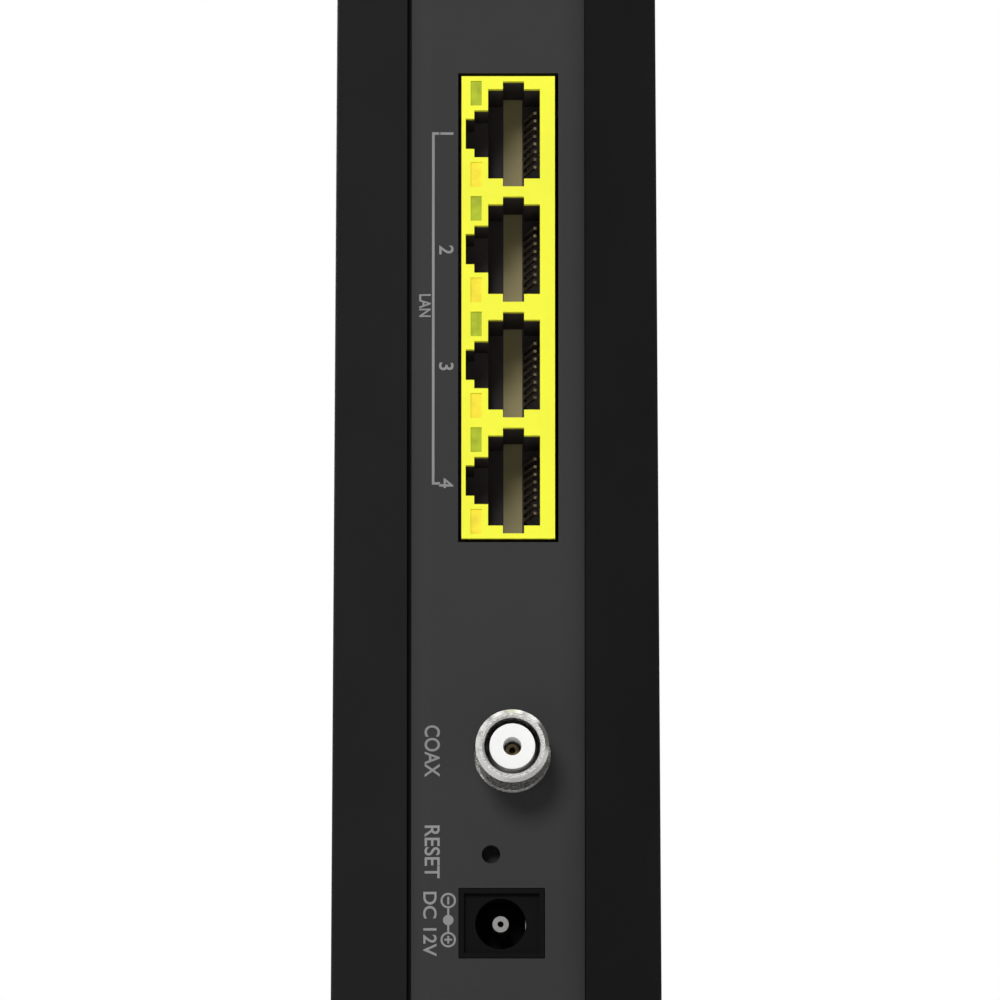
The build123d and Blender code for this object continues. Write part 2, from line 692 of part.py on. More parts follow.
with BuildPart() as coax_insulator:
    disc(COAX_BORE_R, COAX_FLOOR, INSULATOR_STEP_Y, COAX, hole=CONTACT_ROOT_R)
    disc(INSULATOR_R, INSULATOR_STEP_Y, INSULATOR_END, COAX, hole=CONTACT_ROOT_R)
coax_insulator.part.label = "coax_insulator"
export_step(coax_insulator.part, "parts/coax_insulator.step")

with BuildPart() as coax_contact:
    disc(CONTACT_ROOT_R, COAX_FLOOR, INSULATOR_STEP_Y, COAX)
    disc(CONTACT_R, INSULATOR_STEP_Y, CONTACT_END, COAX)
    disc(CONTACT_R / 2, CONTACT_END - 4, CONTACT_END, COAX, mode=Mode.SUBTRACT)
coax_contact.part.label = "coax_contact"
export_step(coax_contact.part, "parts/coax_contact.step")

# ---------------------------------------------------------------- power inlet
INLET = (11.0, 9.0)
INLET_Y = (57.0, PANEL_Y)
PIN_R = 1.05
BARREL_R = 3.3
INLET_FLOOR = 61.5
INLET_RIM = 0.6  # width of the raised rim round the socket's face
INLET_SINK = 0.8
SPRING_X = (-0.4, 0.1)  # the spring's faces, from the barrel's wall
SPRING_REACH = 6.0
SPRING_HALF = 1.2
PIN_SPOT = (POWER[0] + 0.14, POWER[1])
PIN_ROOT_R = 0.8
PIN_END = INLET_Y[1] - 1.2
PIN_HOLE_R = 0.4
PIN_HOLE_DEPTH = 6.0

with BuildPart() as power_pin:
    disc(PIN_ROOT_R, INLET_Y[0], INLET_FLOOR, PIN_SPOT)
    disc(PIN_R, INLET_FLOOR, PIN_END, PIN_SPOT)
    disc(PIN_HOLE_R, PIN_END - PIN_HOLE_DEPTH, PIN_END, PIN_SPOT, mode=Mode.SUBTRACT)
power_pin.part.label = "power_pin"
export_step(power_pin.part, "parts/power_pin.step")

with BuildPart() as power_spring:
    block(
        PIN_SPOT[0] - BARREL_R + SPRING_X[0], PIN_SPOT[0] - BARREL_R + SPRING_X[1],
        INLET_Y[0], INLET_FLOOR + SPRING_REACH, POWER[1] - SPRING_HALF, POWER[1] + SPRING_HALF,
    )
power_spring.part.label = "power_spring"
export_step(power_spring.part, "parts/power_spring.step")

with BuildPart() as power_housing:
    x0, x1 = POWER[0] - INLET[0] / 2, POWER[0] + INLET[0] / 2
    z0, z1 = POWER[1] - INLET[1] / 2, POWER[1] + INLET[1] / 2
    block(x0, x1, INLET_Y[0], INLET_Y[1], z0, z1)
    block(x1, BOARD_X, INLET_Y[0], SOCKET_FOOT_Y, z0, z1)
    block(
        x0 + INLET_RIM, x1 - INLET_RIM, INLET_Y[1] - INLET_SINK, INLET_Y[1],
        z0 + INLET_RIM, z1 - INLET_RIM, mode=Mode.SUBTRACT,
    )
    disc(BARREL_R, INLET_FLOOR, INLET_Y[1], PIN_SPOT, mode=Mode.SUBTRACT)
    add(power_pin.part, mode=Mode.SUBTRACT)
    add(power_spring.part, mode=Mode.SUBTRACT)
power_housing.part.label = "power_housing"
export_step(power_housing.part, "parts/power_housing.step")

# ---------------------------------------------------------------- reset and setup switches
RESET_TRAVEL = 0.3
WPS_TRAVEL = 0.5

STEM_R = 1.4
COLLAR_R = 1.9
COLLAR_T = 0.8
CHAMBER_R = 2.2
SWITCH_HALF = 3.0
STEM_FIT = 0.1  # room round a switch's stem
END_ROOM = 0.2  # room left behind a collar at the end of its travel
RESET_BACK = 62.1
RESET_TIP = 67.8
RESET_BODY_Y = (59.0, 64.0)
RESET_LIP = RESET_BACK + COLLAR_T + STEM_FIT

with BuildPart() as reset_plunger:
    disc(STEM_R, RESET_BACK, RESET_TIP, RESET)
    disc(COLLAR_R, RESET_BACK, RESET_BACK + COLLAR_T, RESET)
reset_plunger.part.label = "reset_plunger"
export_step(reset_plunger.part, "parts/reset_plunger.step")

with BuildPart() as reset_switch:
    block(
        RESET[0] - SWITCH_HALF, BOARD_X, *RESET_BODY_Y, RESET[1] - SWITCH_HALF, RESET[1] + SWITCH_HALF
    )
    disc(CHAMBER_R, RESET_BACK - RESET_TRAVEL - END_ROOM, RESET_LIP, RESET, mode=Mode.SUBTRACT)
    disc(STEM_R + STEM_FIT, RESET_LIP, RESET_BODY_Y[1], RESET, mode=Mode.SUBTRACT)
reset_switch.part.label = "reset_switch"
export_step(reset_switch.part, "parts/reset_switch.step")

WPS = (0.0, WPS_Z)
CAP_EDGE_R = 0.4
CAP_Y = (-79.9, -77.35)
CAP_FLANGE = (WPS_R + 1.2, 1.2)
CAP_STEM_R = 1.6
WPS_JOIN = -71.0  # the button's stem meets the switch's stem here
WPS_BACK = -66.1
WPS_BODY_Y = (-68.0, -62.0)
WPS_LIP = WPS_BACK - COLLAR_T - STEM_FIT

with BuildPart() as wps_button:
    disc(WPS_R, CAP_Y[0], CAP_Y[1], WPS)
    fillet(wps_button.edges().group_by(Axis.Y)[0], radius=CAP_EDGE_R)
    disc(CAP_FLANGE[0], CAP_Y[1], CAP_Y[1] + CAP_FLANGE[1], WPS)
    disc(CAP_STEM_R, CAP_Y[1] + CAP_FLANGE[1], WPS_JOIN, WPS)
wps_button.part.label = "wps_button"
export_step(wps_button.part, "parts/wps_button.step")

with BuildPart() as wps_plunger:
    disc(STEM_R, WPS_JOIN, WPS_BACK, WPS)
    disc(COLLAR_R, WPS_BACK - COLLAR_T, WPS_BACK, WPS)
wps_plunger.part.label = "wps_plunger"
export_step(wps_plunger.part, "parts/wps_plunger.step")

with BuildPart() as wps_switch:
    block(-SWITCH_HALF, BOARD_X, *WPS_BODY_Y, WPS_Z - SWITCH_HALF, WPS_Z + SWITCH_HALF)
    disc(CHAMBER_R, WPS_LIP, WPS_BACK + WPS_TRAVEL + END_ROOM, WPS, mode=Mode.SUBTRACT)
    disc(STEM_R + STEM_FIT, WPS_BODY_Y[0], WPS_LIP, WPS, mode=Mode.SUBTRACT)
wps_switch.part.label = "wps_switch"
export_step(wps_switch.part, "parts/wps_switch.step")

# ---------------------------------------------------------------- status lights
PIPE_Y = (FASCIA_Y + BAND_SKIN, FASCIA_Y + BAND_SKIN + 2.0)
PIPE_X = (-3.4, 5.6)
PIPE_END = 3.0  # the carrier bar runs this far past the first and last light
ARM_X = 3.2  # the arms to the lamps start here
ARM_HALF = 1.2
ARM_GAP = 0.4
LAMP = (2.5, 2.6, 1.4)  # thickness, depth and half height of a lamp
with BuildPart() as light_pipe:
    block(*PIPE_X, *PIPE_Y, LIGHT_Z[-1] - PIPE_END, LIGHT_Z[0] + PIPE_END)
    with BuildSketch(facing_front(PIPE_Y[0])):
        with Locations(*[(LIGHT_X, z) for z in LIGHT_Z]):
            SlotOverall(LIGHT_WINDOW[1] - 2 * WINDOW_GAP, LIGHT_WINDOW[0] - 2 * WINDOW_GAP)
    extrude(amount=BAND_SKIN)
    for z in LIGHT_Z:
        block(ARM_X, PIPE_X[1], PIPE_Y[1], BOARD_Y0 - ARM_GAP, z - ARM_HALF, z + ARM_HALF)
light_pipe.part.label = "light_pipe"
export_step(light_pipe.part, "parts/light_pipe.step")

with BuildPart() as status_lights:
    for z in LIGHT_Z:
        block(BOARD_X - LAMP[0], BOARD_X, BOARD_Y0, BOARD_Y0 + LAMP[1], z - LAMP[2], z + LAMP[2])
status_lights.part.label = "status_lights"
export_step(status_lights.part, "parts/status_lights.step")

# ---------------------------------------------------------------- parts on the board
CHIP = (0.0, 98.0)
CHIP_SIZE, CHIP_T = 21.0, 2.0
PAD_SIZE, PAD_THICK = 18.0, 0.6
SINK_SIZE, SINK_BASE = 42.0, 2.4
FIN_T, FIN_H, FIN_PITCH, FIN_COUNT = 1.4, 9.0, 5.0, 9

with BuildPart() as modem_chip:
    on_board(*CHIP, CHIP_SIZE, CHIP_SIZE, CHIP_T)
modem_chip.part.label = "modem_chip"
export_step(modem_chip.part, "parts/modem_chip.step")

with BuildPart() as thermal_pad:
    on_board(*CHIP, PAD_SIZE, PAD_SIZE, PAD_THICK, lift=CHIP_T)
thermal_pad.part.label = "thermal_pad"
export_step(thermal_pad.part, "parts/thermal_pad.step")

with BuildPart() as heatsink:
    on_board(*CHIP, SINK_SIZE, SINK_SIZE, SINK_BASE, lift=CHIP_T + PAD_THICK)
    for i in range(FIN_COUNT):
        fin_y = CHIP[0] + FIN_PITCH * (i - (FIN_COUNT - 1) / 2)
        on_board(fin_y, CHIP[1], FIN_T, SINK_SIZE, FIN_H, lift=CHIP_T + PAD_THICK + SINK_BASE)
heatsink.part.label = "heatsink"
export_step(heatsink.part, "parts/heatsink.step")

RADIOS = [(-38.0, 142.0), (-38.0, 50.0)]
CAN = (30.0, 26.0, 3.0)
CAN_T = 0.3
RADIO_CHIP = (10.0, 10.0, 1.2)
TUNER = (31.0, 48.0, 34.0, 24.0, 5.0)
MEMORY = (9.0, 13.0, 1.1)
MEMORY_SPOTS = [(-7.0, 130.0), (7.0, 130.0)]
MAGNETICS = (12.0, 24.0, 5.0)
MAGNETICS_SPOTS = [(40.0, 92.0), (40.0, 124.0)]
CAPACITOR_R, CAPACITOR_H, CAPACITOR_EDGE_R = 4.0, 11.0, 0.5
CAPACITOR_SPOTS = [(46.0, 27.0), (34.0, 27.0), (22.0, 27.0), (24.0, 146.0), (36.0, 146.0)]
INDUCTOR = (8.0, 8.0, 4.0)
INDUCTOR_SPOTS = [(6.0, 28.0), (-6.0, 28.0)]
CRYSTAL = (-28.0, 98.0, 5.0, 3.2, 1.2)

with BuildPart() as radio_chips:
    for y, z in RADIOS:
        on_board(y, z, *RADIO_CHIP)
radio_chips.part.label = "radio_chips"
export_step(radio_chips.part, "parts/radio_chips.step")


def can(y, z, size_y, size_z, height):
    """A pressed shield, open towards the board."""
    on_board(y, z, size_y, size_z, height)
    on_board(y, z, size_y - 2 * CAN_T, size_z - 2 * CAN_T, height - CAN_T, mode=Mode.SUBTRACT)


with BuildPart() as radio_cans:
    for y, z in RADIOS:
        can(y, z, *CAN)
radio_cans.part.label = "radio_cans"
export_step(radio_cans.part, "parts/radio_cans.step")

with BuildPart() as tuner_can:
    can(*TUNER)
tuner_can.part.label = "tuner_can"
export_step(tuner_can.part, "parts/tuner_can.step")

with BuildPart() as memory_chips:
    for y, z in MEMORY_SPOTS:
        on_board(y, z, *MEMORY)
memory_chips.part.label = "memory_chips"
export_step(memory_chips.part, "parts/memory_chips.step")

with BuildPart() as lan_magnetics:
    for y, z in MAGNETICS_SPOTS:
        on_board(y, z, *MAGNETICS)
lan_magnetics.part.label = "lan_magnetics"
export_step(lan_magnetics.part, "parts/lan_magnetics.step")

with BuildPart() as capacitors:
    with BuildSketch(across(BOARD_X)):
        with Locations(*CAPACITOR_SPOTS):
            Circle(CAPACITOR_R)
    extrude(amount=-CAPACITOR_H)
    fillet(capacitors.edges().group_by(Axis.X)[0], radius=CAPACITOR_EDGE_R)
capacitors.part.label = "capacitors"
export_step(capacitors.part, "parts/capacitors.step")

with BuildPart() as inductors:
    for y, z in INDUCTOR_SPOTS:
        on_board(y, z, *INDUCTOR)
inductors.part.label = "inductors"
export_step(inductors.part, "parts/inductors.step")

with BuildPart() as crystal:
    on_board(*CRYSTAL)
crystal.part.label = "crystal"
export_step(crystal.part, "parts/crystal.step")

# ---------------------------------------------------------------- antennas
with BuildPart() as antenna_boards:
    for y, z in ANTENNAS:
        block(
            ANTENNA_X, ANTENNA_X + ANTENNA_T, y - ANTENNA_SIZE[0] / 2, y + ANTENNA_SIZE[0] / 2,
            z - ANTENNA_SIZE[1] / 2, z + ANTENNA_SIZE[1] / 2,
        )
antenna_boards.part.label = "antenna_boards"
export_step(antenna_boards.part, "parts/antenna_boards.step")

LEAD_R = 0.6
LEAD_X0 = ANTENNA_X + ANTENNA_T
LEAD_X1 = BOARD_X - CAN[2]
LEAD_ROUTES = [
    [(LEAD_X0, -40, 156), (LEAD_X1, -38, 142)],
    [(LEAD_X0, 6, 156), (-12, -16, 136), (-12, -32, 100), (-6, -38, 66), (LEAD_X1, -38, 50)],
]
with BuildPart() as antenna_leads:
    for route in LEAD_ROUTES:
        with BuildLine(mode=Mode.PRIVATE) as run:
            Spline(*route, tangents=[(1, 0, 0), (1, 0, 0)])
        with BuildSketch(Plane(origin=route[0], z_dir=(1, 0, 0))) as lead_end:
            Circle(LEAD_R)
        sweep(lead_end.sketch, path=run.line)
antenna_leads.part.label = "antenna_leads"
export_step(antenna_leads.part, "parts/antenna_leads.step")
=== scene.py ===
"""Looks for an upright cable modem router: finishes, printing, studio and camera."""

import json
import math

import bmesh
import bpy
from mathutils import Matrix, Vector


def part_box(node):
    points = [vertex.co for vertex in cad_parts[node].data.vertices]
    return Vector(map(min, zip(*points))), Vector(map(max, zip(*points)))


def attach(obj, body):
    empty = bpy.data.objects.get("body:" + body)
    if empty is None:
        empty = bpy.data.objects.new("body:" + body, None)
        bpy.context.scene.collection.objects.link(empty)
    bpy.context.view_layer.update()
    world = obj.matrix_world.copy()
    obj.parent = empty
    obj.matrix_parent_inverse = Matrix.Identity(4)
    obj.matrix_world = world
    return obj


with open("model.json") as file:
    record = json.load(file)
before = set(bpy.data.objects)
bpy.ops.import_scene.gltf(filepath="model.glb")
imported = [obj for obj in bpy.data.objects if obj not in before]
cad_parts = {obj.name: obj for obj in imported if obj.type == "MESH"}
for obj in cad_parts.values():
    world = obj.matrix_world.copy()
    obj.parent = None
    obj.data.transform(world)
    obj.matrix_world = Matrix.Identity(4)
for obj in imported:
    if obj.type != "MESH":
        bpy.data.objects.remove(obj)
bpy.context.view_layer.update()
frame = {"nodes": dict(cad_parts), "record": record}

MM = 0.001
HOUSING = "housing"
BUTTON = "setup_button"

# Where the CAD puts the things that the printing and the camera refer to
_, PANEL_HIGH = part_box("rear_panel")
PANEL_FACE = PANEL_HIGH.y
COAX_LOW, COAX_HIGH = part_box("coax_contact")
RESET_LOW, RESET_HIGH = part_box("reset_plunger")
INLET_LOW, INLET_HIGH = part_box("power_pin")
SOCKETS_LOW, SOCKETS_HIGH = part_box("lan_bezel")
FASCIA_LOW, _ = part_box("front_fascia")
BUTTON_LOW, BUTTON_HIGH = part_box("wps_button")
LIGHTS_LOW, LIGHTS_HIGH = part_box("status_lights")


def middle_z(corners):
    """Height of the middle of a box, from its two corners."""
    return (corners[0].z + corners[1].z) / 2


COAX_Z = middle_z((COAX_LOW, COAX_HIGH))
RESET_Z = middle_z((RESET_LOW, RESET_HIGH))
INLET_Z = middle_z((INLET_LOW, INLET_HIGH))
SOCKETS_Z = middle_z((SOCKETS_LOW, SOCKETS_HIGH))
PORT_COUNT = 4


# ---------------------------------------------------------------- camera
VIEW_DISTANCE = 2.0  # from the rear panel
VIEW_RISE = math.radians(-8.5)  # the camera stands below the sockets and looks up
VIEW_HEIGHT = 0.1314 * math.cos(VIEW_RISE)  # what the frame takes in at the rear panel
VIEW_CENTRE_X = -0.0005
VIEW_CENTRE_Z = 0.0825
SENSOR = 36.0


def make_camera():
    """A distant camera behind the router, looking slightly up at the sockets."""
    data = bpy.data.cameras.new("camera")
    data.type = "PERSP"
    data.sensor_width = SENSOR
    data.lens = SENSOR * VIEW_DISTANCE / VIEW_HEIGHT
    data.clip_start = 0.01
    data.clip_end = 20
    camera = bpy.data.objects.new("camera", data)
    back = VIEW_DISTANCE * math.cos(VIEW_RISE)
    up = VIEW_DISTANCE * math.sin(VIEW_RISE)
    camera.location = (VIEW_CENTRE_X, PANEL_FACE + back, VIEW_CENTRE_Z + up)
    camera.rotation_euler = (math.radians(90) - VIEW_RISE, 0, math.radians(180))
    bpy.context.scene.collection.objects.link(camera)
    bpy.context.scene.camera = camera


# ---------------------------------------------------------------- material helpers
NOISE_LOW, NOISE_HIGH = 0.3, 0.7  # the range of a noise pattern that does the work
BROAD_PLASTIC = 60  # how many patches to the metre, for patterns that drift over a piece
BROAD_METAL = 120
DRAWN_MARKS = 1800
LENS_CLOUDS = 700
GRAIN_DEPTH = 0.04 * MM
MARK_DEPTH = 0.02 * MM
CLOUD_DEPTH = 0.03 * MM
SHEEN_LESS, SHEEN_MORE = 0.04, 0.05  # how far a plastic's roughness drifts
METAL_DARK, METAL_LIGHT = 0.88, 1.06  # the tones a metal drifts between
MARK_SMOOTH, MARK_ROUGH = 0.8, 1.3  # and the roughness of its drawn marks
LENS_ROUGHNESS = 0.45
LENS_SPECULAR = 0.15
LENS_GLOW = 0.1
LENS_RELIEF = 0.1


def blank_material(name, colour, roughness, metallic=0.0):
    """A new material with its shader's plain values set on the shader itself."""
    material = bpy.data.materials.new(name)
    material.use_nodes = True
    shader = material.node_tree.nodes["Principled BSDF"]
    shader.inputs["Base Color"].default_value = (*colour, 1)
    shader.inputs["Roughness"].default_value = roughness
    shader.inputs["Metallic"].default_value = metallic
    return material, shader


def add_noise(material, scale, detail=3.0, stretch=(1, 1, 1)):
    """A noise pattern fixed to the object, optionally drawn out along one axis."""
    nodes, links = material.node_tree.nodes, material.node_tree.links
    place = nodes.new("ShaderNodeTexCoord")
    mapping = nodes.new("ShaderNodeMapping")
    mapping.inputs["Scale"].default_value = stretch
    noise = nodes.new("ShaderNodeTexNoise")
    noise.inputs["Scale"].default_value = scale
    noise.inputs["Detail"].default_value = detail
    links.new(place.outputs["Object"], mapping.inputs["Vector"])
    links.new(mapping.outputs["Vector"], noise.inputs["Vector"])
    return noise.outputs["Fac"]


def vary_colour(material, shader, pattern, dark, light):
    """Colour that drifts between two tones."""
    nodes, links = material.node_tree.nodes, material.node_tree.links
    ramp = nodes.new("ShaderNodeValToRGB")
    ramp.color_ramp.elements[0].position = NOISE_LOW
    ramp.color_ramp.elements[1].position = NOISE_HIGH
    ramp.color_ramp.elements[0].color = (*dark, 1)
    ramp.color_ramp.elements[1].color = (*light, 1)
    links.new(pattern, ramp.inputs["Fac"])
    links.new(ramp.outputs["Color"], shader.inputs["Base Color"])


def vary_roughness(material, shader, pattern, low, high):
    """Roughness that drifts between two values."""
    nodes, links = material.node_tree.nodes, material.node_tree.links
    spread = nodes.new("ShaderNodeMapRange")
    spread.inputs["From Min"].default_value = NOISE_LOW
    spread.inputs["From Max"].default_value = NOISE_HIGH
    spread.inputs["To Min"].default_value = low
    spread.inputs["To Max"].default_value = high
    links.new(pattern, spread.inputs["Value"])
    links.new(spread.outputs["Result"], shader.inputs["Roughness"])


def add_grain(material, shader, pattern, strength, depth):
    """Fine surface relief, with its depth in metres."""
    nodes, links = material.node_tree.nodes, material.node_tree.links
    bump = nodes.new("ShaderNodeBump")
    bump.inputs["Strength"].default_value = strength
    bump.inputs["Distance"].default_value = depth
    links.new(pattern, bump.inputs["Height"])
    links.new(bump.outputs["Normal"], shader.inputs["Normal"])


def shade(colour, factor):
    """The colour made darker or lighter, held at full strength."""
    return tuple(min(1.0, channel * factor) for channel in colour)


def moulded(name, colour, roughness, grain=2600, relief=0.25, specular=0.5, drift=0.12):
    """Moulded plastic: spark-eroded grain, uneven sheen and a slight drift in tone."""
    material, shader = blank_material(name, colour, roughness)
    shader.inputs["Specular IOR Level"].default_value = specular
    broad = add_noise(material, BROAD_PLASTIC)
    fine = add_noise(material, grain, 4)
    vary_colour(material, shader, broad, shade(colour, 1 - drift), shade(colour, 1 + drift))
    vary_roughness(material, shader, broad, roughness - SHEEN_LESS, roughness + SHEEN_MORE)
    add_grain(material, shader, fine, relief, GRAIN_DEPTH)
    return material


def metal(name, colour, roughness, stretch=(1, 1, 1), relief=0.15):
    """Plated or rolled metal with fine drawn marks."""
    material, shader = blank_material(name, colour, roughness, metallic=1.0)
    marks = add_noise(material, DRAWN_MARKS, 3, stretch)
    broad = add_noise(material, BROAD_METAL)
    vary_colour(material, shader, broad, shade(colour, METAL_DARK), shade(colour, METAL_LIGHT))
    vary_roughness(material, shader, marks, roughness * MARK_SMOOTH, roughness * MARK_ROUGH)
    add_grain(material, shader, marks, relief, MARK_DEPTH)
    return material


def lens_plastic(name, colour, cloud):
    """A tinted, slightly translucent lens with clouds that are darker by that factor."""
    material, shader = blank_material(name, colour, LENS_ROUGHNESS)
    shader.inputs["Specular IOR Level"].default_value = LENS_SPECULAR
    shader.inputs["Subsurface Weight"].default_value = LENS_GLOW
    shader.inputs["Subsurface Radius"].default_value = (1.0 * MM, 1.0 * MM, 0.5 * MM)
    clouds = add_noise(material, LENS_CLOUDS, 2)
    vary_colour(material, shader, clouds, shade(colour, cloud), colour)
    add_grain(material, shader, clouds, LENS_RELIEF, CLOUD_DEPTH)
    return material


# ---------------------------------------------------------------- finishes, one for each slot of the record
FINISHES = {
    "shell_plastic": moulded(
        "shell_plastic", (0.0092, 0.0091, 0.0093), 0.52, grain=2800, relief=0.22, specular=0.1
    ),
    "panel_plastic": moulded(
        "panel_plastic", (0.035, 0.035, 0.0355), 0.62, grain=3200, relief=0.3, specular=0.12, drift=0.06
    ),
    "fascia_gloss": moulded(
        "fascia_gloss", (0.006, 0.006, 0.0065), 0.1, grain=900, relief=0.02, specular=0.5, drift=0.05
    ),
    "foot_plastic": moulded(
        "foot_plastic", (0.012, 0.012, 0.0125), 0.55, grain=2600, relief=0.3, specular=0.25
    ),
    "rubber": moulded("rubber", (0.02, 0.02, 0.02), 0.85, grain=1500, relief=0.5, specular=0.2),
    "screw_steel": metal("screw_steel", (0.5, 0.5, 0.52), 0.35),
    "socket_yellow": moulded(
        "socket_yellow", (0.91, 0.92, 0.046), 0.45, grain=2000, relief=0.12, specular=0.15, drift=0.04
    ),
    "lens_green": lens_plastic("lens_green", (0.50, 0.60, 0.025), cloud=0.7),
    "lens_amber": lens_plastic("lens_amber", (1.0, 0.82, 0.045), cloud=0.85),
    "contact_gold": metal("contact_gold", (0.40, 0.29, 0.14), 0.45, stretch=(1, 6, 1)),
    "nickel": metal("nickel", (0.74, 0.73, 0.71), 0.16, stretch=(1, 1, 4), relief=0.08),
    "insulator_white": moulded(
        "insulator_white", (0.93, 0.93, 0.92), 0.45, grain=1800, relief=0.1, specular=0.4, drift=0.03
    ),
    "inlet_black": moulded(
        "inlet_black", (0.0042, 0.0042, 0.0042), 0.6, grain=2400, relief=0.2, specular=0.05
    ),
    "light_clear": lens_plastic("light_clear", (0.6, 0.62, 0.64), cloud=0.9),
    "button_black": moulded(
        "button_black", (0.010, 0.010, 0.0105), 0.4, grain=1800, relief=0.1, specular=0.2
    ),
    "board_green": moulded(
        "board_green", (0.015, 0.075, 0.035), 0.35, grain=900, relief=0.2, specular=0.5, drift=0.2
    ),
    "chip_black": moulded(
        "chip_black", (0.018, 0.018, 0.019), 0.6, grain=2400, relief=0.25, specular=0.3
    ),
    "pad_grey": moulded("pad_grey", (0.33, 0.34, 0.38), 0.8, grain=1400, relief=0.3, specular=0.3),
    "fin_aluminium": metal("fin_aluminium", (0.74, 0.74, 0.75), 0.38, stretch=(1, 1, 8)),
    "can_steel": metal("can_steel", (0.62, 0.62, 0.62), 0.32, stretch=(1, 5, 1)),
    "capacitor_sleeve": metal("capacitor_sleeve", (0.5, 0.5, 0.53), 0.3),
    "lead_grey": moulded("lead_grey", (0.1, 0.1, 0.1), 0.6, grain=1600, relief=0.2),
    "carrier_brown": moulded(
        "carrier_brown", (0.36, 0.305, 0.15), 0.6, grain=1800, relief=0.2, specular=0.2, drift=0.15
    ),
}

# Copies of some finishes, for pieces deep inside, with light or shade painted into their colour: painted
# shade on the contacts and pins, painted light in the network sockets; the coax barrel's copy differs only
# in roughness
# painted shade: the power pin and its spring take a much darker copy of the nickel, which stands in for the
# shade deep in the inlet and hides the spring's glint
PAINTED_SHADE_NICKEL = metal("nickel_painted_shade", (0.22, 0.217, 0.213), 0.4, stretch=(1, 1, 4), relief=0.08)
VARIANTS = {
    # painted light: the network socket housings are much lighter than the inlet black, which stands in for
    # light reaching into the socket cavities
    "lan_housing": moulded(
        "inlet_black_painted_light", (0.06, 0.05, 0.052), 0.6, grain=2400, relief=0.2, specular=0.1
    ),
    # painted shade: the network contacts are a darker copy of the gold, for the shade they sit in at the
    # back of the sockets
    "lan_contacts": metal("contact_gold_painted_shade", (0.14, 0.11, 0.07), 0.6, stretch=(1, 6, 1)),
    "coax_barrel": metal("nickel_barrel", (0.74, 0.73, 0.71), 0.24, stretch=(1, 1, 4), relief=0.02),
    # painted shade: the coax centre contact is a darker copy of the gold, for the shade inside the
    # insulator's hole
    "coax_contact": metal("coax_contact_painted_shade", (0.2, 0.15, 0.08), 0.5, stretch=(1, 6, 1)),
    "power_pin": PAINTED_SHADE_NICKEL,
    "power_spring": PAINTED_SHADE_NICKEL,
}


def dress_cad_nodes():
    """Gives every CAD node the finish of its slot in the record, or a copy of it with painted shade,
    painted light or another roughness.
    """
    for part in frame["record"]["subparts"]:
        data = frame["nodes"][part["node"]].data
        data.materials.clear()
        data.materials.append(VARIANTS.get(part["node"], FINISHES[part["material_slot"]]))


# ---------------------------------------------------------------- printing
INK = moulded("label_ink", (0.25, 0.25, 0.25), 0.6, grain=2200, relief=0.2, specular=0.2, drift=0.1)
ICON_INK = moulded("icon_ink", (0.22, 0.22, 0.225), 0.5, grain=2200, relief=0.1, specular=0.2, drift=0.08)
INK_LIFT = 0.02 * MM
INK_THICK = 0.015 * MM
INK_SPREAD = 0.035 * MM  # how far the ink thickens each letter
WELD = 0.001 * MM  # corners closer than this are one corner
DOT_SIDES = 40
RING_STEPS = 48
CROWN_START = 8.4 * MM  # the panel falls away beyond this on both sides
CROWN_DROP = 0.4 * MM
CROWN_EDGE = 11.0 * MM


def on_panel(x):
    """Y of printing on the rear panel's crowned face, at that X."""
    past = max(0.0, abs(x) - CROWN_START) / (CROWN_EDGE - CROWN_START)
    return PANEL_FACE - CROWN_DROP * past**2 + INK_LIFT


def on_fascia(x):
    """Y of printing on the flat front fascia."""
    return FASCIA_LOW.y - INK_LIFT


def on_button(x):
    """Y of printing on the flat face of the setup button."""
    return BUTTON_LOW.y - INK_LIFT


def print_on(mesh, name, surface, ink=INK, body=HOUSING):
    """Lays flat printing, drawn in X and Z with its thickness along Y, onto a surface."""
    for vertex in mesh.vertices:
        vertex.co.y += surface(vertex.co.x)
    mesh.name = name
    mesh.materials.clear()
    mesh.materials.append(ink)
    label = bpy.data.objects.new(name, mesh)
    bpy.context.scene.collection.objects.link(label)
    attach(label, body)


def print_words(words, name, x, z, size, length=None):
    """Words on the rear panel that read downwards, drawn out or in to a length."""
    curve = bpy.data.curves.new(name, "FONT")
    curve.body = words
    curve.size = size
    curve.align_x = "CENTER"
    curve.align_y = "CENTER"
    curve.extrude = INK_THICK
    curve.offset = INK_SPREAD
    drawing = bpy.data.objects.new(name, curve)
    bpy.context.scene.collection.objects.link(drawing)
    bpy.context.view_layer.update()
    seen = drawing.evaluated_get(bpy.context.evaluated_depsgraph_get())
    shape = bmesh.new()
    shape.from_mesh(bpy.data.meshes.new_from_object(seen))
    bpy.data.objects.remove(drawing)
    bmesh.ops.remove_doubles(shape, verts=shape.verts, dist=WELD)
    reach = [vertex.co.x for vertex in shape.verts]
    stretch = length / (max(reach) - min(reach)) if length else 1.0
    # the words run down in Z, with the tops of the letters towards -X
    turn = Matrix(((0, -1, 0, x), (0, 0, 1, 0), (-1, 0, 0, z), (0, 0, 0, 1)))
    bmesh.ops.transform(
        shape, matrix=turn @ Matrix.Diagonal((stretch, 1, 1, 1)), verts=shape.verts
    )
    print_on(bmesh_to_mesh(shape, name), name, on_panel)


def bmesh_to_mesh(shape, name):
    """A mesh with its faces turned outwards, from a finished bmesh."""
    bmesh.ops.recalc_face_normals(shape, faces=shape.faces)
    mesh = bpy.data.meshes.new(name)
    shape.to_mesh(mesh)
    shape.free()
    return mesh


